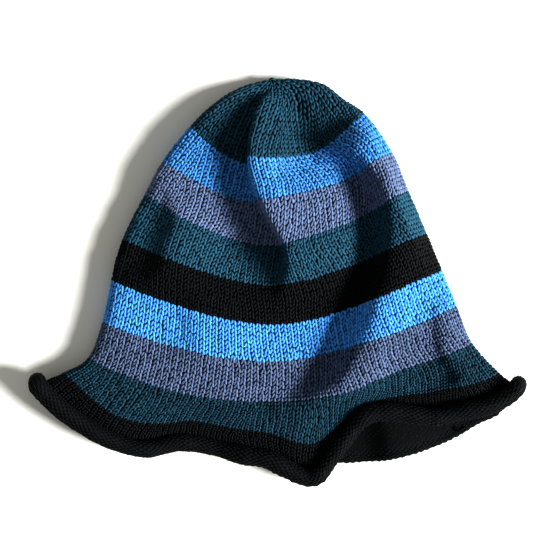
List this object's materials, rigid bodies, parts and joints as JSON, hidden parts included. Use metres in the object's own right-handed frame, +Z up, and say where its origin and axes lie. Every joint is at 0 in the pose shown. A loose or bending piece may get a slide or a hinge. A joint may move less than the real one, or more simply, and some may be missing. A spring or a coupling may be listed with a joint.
{
  "type": "knitted striped cloche hat",
  "caption": "Hand knitted striped cloche hat with a rounded gathered crown, a soft folded body and a flared ruffled brim with a curled edge, lying flat with its head opening free.",
  "frame": {"origin": "on the ground under the middle of the lying hat, at the bottom centre of its box", "axes": "+Y towards the crown tip, +Z up from the ground, +X to the right side as seen from above with the crown away from the viewer"},
  "size_m": [0.3412, 0.2812, 0.0376],
  "materials": {
    "yarn_teal": "matt knitted yarn, dark teal",
    "yarn_blue": "matt knitted yarn, bright mid blue",
    "yarn_slate": "matt knitted yarn, greyed violet blue",
    "yarn_black": "matt knitted yarn, black"
  },
  "bodies": {
    "root": {"crown_teal": "yarn_teal", "stripe_blue_upper": "yarn_blue", "stripe_slate_upper": "yarn_slate", "stripe_teal_middle": "yarn_teal", "stripe_black": "yarn_black", "stripe_blue_lower": "yarn_blue", "stripe_slate_lower": "yarn_slate", "stripe_teal_lower": "yarn_teal", "brim_black": "yarn_black"}
  },
  "joints": []
}
